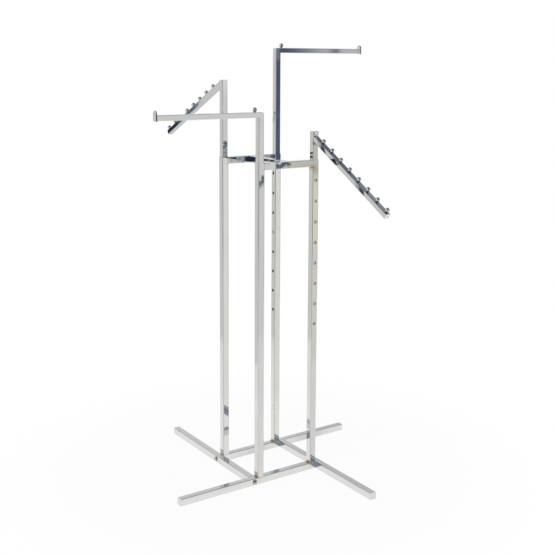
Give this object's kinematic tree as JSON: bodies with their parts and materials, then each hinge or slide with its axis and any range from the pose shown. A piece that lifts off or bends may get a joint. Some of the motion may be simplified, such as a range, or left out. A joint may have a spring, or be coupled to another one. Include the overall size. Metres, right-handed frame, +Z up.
{
  "type": "four way clothing rack",
  "caption": "Chrome square-tube display rack on crossed legs, with straight and slanted ball-stop arms that slide up and down in its uprights and lock with snap buttons.",
  "frame": {"origin": "on the floor, under the middle of the whole rack's box; the middle of the four uprights is 3.0 mm towards +X and 5.4 mm towards -Y from it", "axes": "+Z up; the straight arms point to -X (front upright) and +X (back upright), the slanted arms to -Y (right upright) and +Y (left upright)"},
  "size_m": [1.03, 1.0964, 1.5849],
  "materials": {
    "frame_chrome": "bright plated steel tube with light scratches and small rust spots at the welds",
    "slider_chrome": "bright plated steel tube, rubbed along its length",
    "arm_chrome": "bright plated steel tube with hanger rub marks",
    "cap_chrome": "bright plated flat caps",
    "ball_chrome": "polished plated balls",
    "plug_steel": "plain machined steel, hidden in the tubes",
    "bolt_zinc": "zinc plated with a yellowish tint and a little rust",
    "washer_zinc": "zinc plated, dull",
    "clip_spring_steel": "dark tempered spring strip",
    "button_steel": "turned steel, worn bright on its dome"
  },
  "bodies": {
    "frame": {"upright_front": "frame_chrome", "upright_right": "frame_chrome", "upright_left": "frame_chrome", "upright_back": "frame_chrome", "rail_front": "frame_chrome", "rail_back": "frame_chrome", "cross_bar": "frame_chrome", "leg_front": "frame_chrome", "leg_right": "frame_chrome", "leg_left": "frame_chrome", "leg_back": "frame_chrome", "leg_caps": "cap_chrome", "threaded_plugs": "plug_steel", "bolts": "bolt_zinc", "washers": "washer_zinc"},
    "arm_assembly_front": {"slider_front": "slider_chrome", "arm_front": "arm_chrome", "end_plate_front": "cap_chrome", "ball_stud_front": "ball_chrome", "spring_clip_front": "clip_spring_steel"},
    "button_front": {"snap_button_front": "button_steel"},
    "arm_assembly_right": {"slider_right": "slider_chrome", "arm_right": "arm_chrome", "slider_cap_right": "cap_chrome", "tip_cap_right": "cap_chrome", "ball_studs_right": "ball_chrome", "root_ball_right": "ball_chrome", "spring_clip_right": "clip_spring_steel"},
    "button_right": {"snap_button_right": "button_steel"},
    "arm_assembly_left": {"slider_left": "slider_chrome", "arm_left": "arm_chrome", "slider_cap_left": "cap_chrome", "tip_cap_left": "cap_chrome", "ball_studs_left": "ball_chrome", "spring_clip_left": "clip_spring_steel"},
    "button_left": {"snap_button_left": "button_steel"},
    "arm_assembly_back": {"slider_back": "slider_chrome", "arm_back": "arm_chrome", "end_plate_back": "cap_chrome", "ball_stud_back": "ball_chrome", "spring_clip_back": "clip_spring_steel"},
    "button_back": {"snap_button_back": "button_steel"}
  },
  "joints": [
    {"name": "arm_front_height", "type": "slide", "parent": "frame", "child": "arm_assembly_front", "axis": [0, 0, 1], "range_m": [-0.0762, 0.381]},
    {"name": "arm_right_height", "type": "slide", "parent": "frame", "child": "arm_assembly_right", "axis": [0, 0, 1], "range_m": [0, 0.4572]},
    {"name": "arm_left_height", "type": "slide", "parent": "frame", "child": "arm_assembly_left", "axis": [0, 0, 1], "range_m": [-0.1524, 0.3048]},
    {"name": "arm_back_height", "type": "slide", "parent": "frame", "child": "arm_assembly_back", "axis": [0, 0, 1], "range_m": [-0.3048, 0.1524]},
    {"name": "button_front_press", "type": "slide", "parent": "arm_assembly_front", "child": "button_front", "axis": [-1, 0, 0], "range_m": [0, 0.0032], "stiffness_N_per_m": 1200, "deforming": ["spring_clip_front"]},
    {"name": "button_right_press", "type": "slide", "parent": "arm_assembly_right", "child": "button_right", "axis": [0, 1, 0], "range_m": [0, 0.0032], "stiffness_N_per_m": 1200, "deforming": ["spring_clip_right"]},
    {"name": "button_left_press", "type": "slide", "parent": "arm_assembly_left", "child": "button_left", "axis": [0, -1, 0], "range_m": [0, 0.0032], "stiffness_N_per_m": 1200, "deforming": ["spring_clip_left"]},
    {"name": "button_back_press", "type": "slide", "parent": "arm_assembly_back", "child": "button_back", "axis": [1, 0, 0], "range_m": [0, 0.0032], "stiffness_N_per_m": 1200, "deforming": ["spring_clip_back"]}
  ]
}
